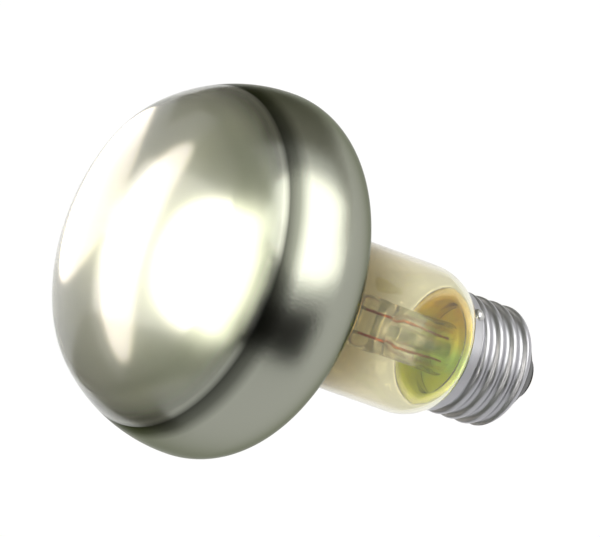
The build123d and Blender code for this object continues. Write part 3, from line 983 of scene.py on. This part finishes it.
def toward(azimuth, elevation, distance):
    """Place at a distance from the middle of the head, in degrees of azimuth and elevation."""
    a, e = math.radians(azimuth), math.radians(elevation)
    way = Vector((math.cos(a) * math.cos(e), math.sin(a) * math.cos(e), math.sin(e)))
    return MIDDLE + way * distance


def shown_white(tree):
    """1 where the camera, a polished surface or glass looks, and 0 where light is gathered."""
    rays = add_node(tree, "ShaderNodeLightPath")
    bright = add_node(tree, "ShaderNodeMath", {"operation": "MAXIMUM"},
                      {0: rays.outputs["Is Camera Ray"], 1: rays.outputs["Is Glossy Ray"]})
    shown = add_node(tree, "ShaderNodeMath", {"operation": "MAXIMUM"},
                     {0: bright.outputs["Value"], 1: rays.outputs["Is Transmission Ray"]})
    return shown.outputs["Value"]


def glowing_paper(tree):
    """White paper that is nearly pure white where it is looked at."""
    paper = add_node(tree, "ShaderNodeBsdfDiffuse", {"Color": linear("#F4F3F0")})
    white = add_node(tree, "ShaderNodeEmission", {"Color": linear("#FFFFFF"), "Strength": 1.0})
    share = add_node(tree, "ShaderNodeMath", {"operation": "MULTIPLY", 1: 0.92}, {0: shown_white(tree)})
    return mix_shaders(tree, share.outputs["Value"], paper, white)


class LAMP_OT_stage(bpy.types.Operator):
    """Set the pale floor, the soft studio light and the camera at the photo's angle."""
    bl_idname = "lamp.stage"
    bl_label = "Stage"

    tilt: FloatProperty(
        name="Tilt", description="How far the lamp's axis leans out of the picture",
        default=math.radians(34.3), subtype="ANGLE")
    lean: FloatProperty(
        name="Lean", description="Angle of the axis in the picture",
        default=math.radians(19.7), subtype="ANGLE")
    frame_width: FloatProperty(
        name="Frame width", description="Width of the picture at the lamp", default=125.3 * MM, unit="LENGTH")
    distance: FloatProperty(name="Distance", description="Camera to lamp", default=2.5, unit="LENGTH")
    floor_drop: FloatProperty(
        name="Floor drop", description="From the held lamp down to the floor", default=0.45, unit="LENGTH")

    def execute(self, context):
        scene = context.scene
        scene.view_settings.view_transform = "Standard"
        self.camera(scene)
        self.floor()
        self.world(scene)
        self.lights()
        for name, azimuth, elevation, distance, width, height, paper in CARDS:
            card(name, toward(azimuth, elevation, distance), MIDDLE, width, height, paper)
        return {"FINISHED"}

    @staticmethod
    def lights():
        """Two softboxes, three lamps that only the polished surfaces see, and a fill on the neck."""
        side = toward(-49, -7, LIGHT_DISTANCE)
        area_light("side_softbox", side, MIDDLE, (1.12, 1.08), 9.6, "#FFFEFA", "ELLIPSE")
        front = toward(90, 77, LIGHT_DISTANCE)
        area_light("front_softbox", front, MIDDLE, (0.88, 1.9), 23.0, "#FFFBF4")
        for name, azimuth, elevation, width, height, power in SHEENS:
            place = toward(azimuth, elevation, LIGHT_DISTANCE)
            lamp = area_light(name, place, MIDDLE, (width, height), power, "#FFF3E2", "ELLIPSE")
            lamp.visible_camera = False
            lamp.visible_diffuse = False
            lamp.visible_transmission = False
        seal = Vector((0, 0, envelope_low.z))
        fill = area_light("neck_fill", seal + Vector((0, -150, 55)) * MM, seal, (0.13, 0.09), 1.9, "#FFFDF8")
        fill.visible_camera = False
        fill.visible_glossy = False

    def camera(self, scene):
        """Looks down the lamp's leaning axis, as the photo does."""
        ahead = Vector((0, math.cos(self.tilt), -math.sin(self.tilt)))
        axis = Vector((0, math.sin(self.tilt), math.cos(self.tilt)))
        side = Vector((1, 0, 0))
        right = side * math.sin(self.lean) - axis * math.cos(self.lean)
        up = side * math.cos(self.lean) + axis * math.sin(self.lean)
        data = bpy.data.cameras.new("photo_view")
        data.sensor_width = SENSOR
        data.lens = SENSOR * self.distance / self.frame_width
        data.clip_end = 20.0
        camera = bpy.data.objects.new("photo_view", data)
        turn = Matrix((right, up, -ahead)).transposed().to_4x4()
        camera.matrix_world = Matrix.Translation(AIM - ahead * self.distance) @ turn
        scene.collection.objects.link(camera)
        scene.camera = camera

    def floor(self):
        """Pale paper, well below the lamp that is held over it."""
        flat_sheet("floor", FLOOR_HALF, Matrix.Translation((0, 0, -self.floor_drop)), glowing_paper)

    @staticmethod
    def world(scene):
        """White room: pure white where it is looked at, softer as a light."""
        world = bpy.data.worlds.new("studio")
        world.use_nodes = True
        tree = world.node_tree
        tree.nodes.clear()
        room = add_node(tree, "ShaderNodeBackground", {"Color": linear("#F2F1EC"), "Strength": 0.6})
        white = add_node(tree, "ShaderNodeBackground", {"Color": linear("#FFFFFF"), "Strength": 1.0})
        set_surface(tree, mix_shaders(tree, shown_white(tree), room, white), "ShaderNodeOutputWorld")
        scene.world = world


class LAMP_PT_panel(bpy.types.Panel):
    """Lists the lamp's sizes, finishes and pieces."""
    bl_label = "Basking lamp"
    bl_idname = "LAMP_PT_panel"
    bl_space_type = "VIEW_3D"
    bl_region_type = "UI"
    bl_category = "Lamp"

    def draw(self, context):
        layout = self.layout
        for group in (context.scene.lamp_bulb, context.scene.lamp_shell, context.scene.lamp_finish):
            box = layout.box()
            for name in group.__annotations__:
                box.prop(group, name)
        for operator in PIECES:
            layout.operator(operator.bl_idname)


PIECES = (
    LAMP_OT_stage, LAMP_OT_bulb, LAMP_OT_shell, LAMP_OT_cap_end, LAMP_OT_stem, LAMP_OT_wires, LAMP_OT_cement,
)
CLASSES = (BulbSizes, ShellSizes, Finish, *PIECES, LAMP_PT_panel)


def register():
    """Registers the classes and hangs their settings on the scene."""
    for cls in CLASSES:
        bpy.utils.register_class(cls)
    bpy.types.Scene.lamp_bulb = PointerProperty(type=BulbSizes)
    bpy.types.Scene.lamp_shell = PointerProperty(type=ShellSizes)
    bpy.types.Scene.lamp_finish = PointerProperty(type=Finish)


def unregister():
    """Takes away what register() added."""
    del bpy.types.Scene.lamp_finish
    del bpy.types.Scene.lamp_shell
    del bpy.types.Scene.lamp_bulb
    for cls in reversed(CLASSES):
        bpy.utils.unregister_class(cls)


def main():
    """Builds the stage and the lamp."""
    register()
    bpy.ops.lamp.stage()
    bpy.ops.lamp.bulb()
    bpy.ops.lamp.shell()
    bpy.ops.lamp.cap_end()
    bpy.ops.lamp.stem()
    bpy.ops.lamp.wires()
    bpy.ops.lamp.cement()


if __name__ == "__main__":
    main()
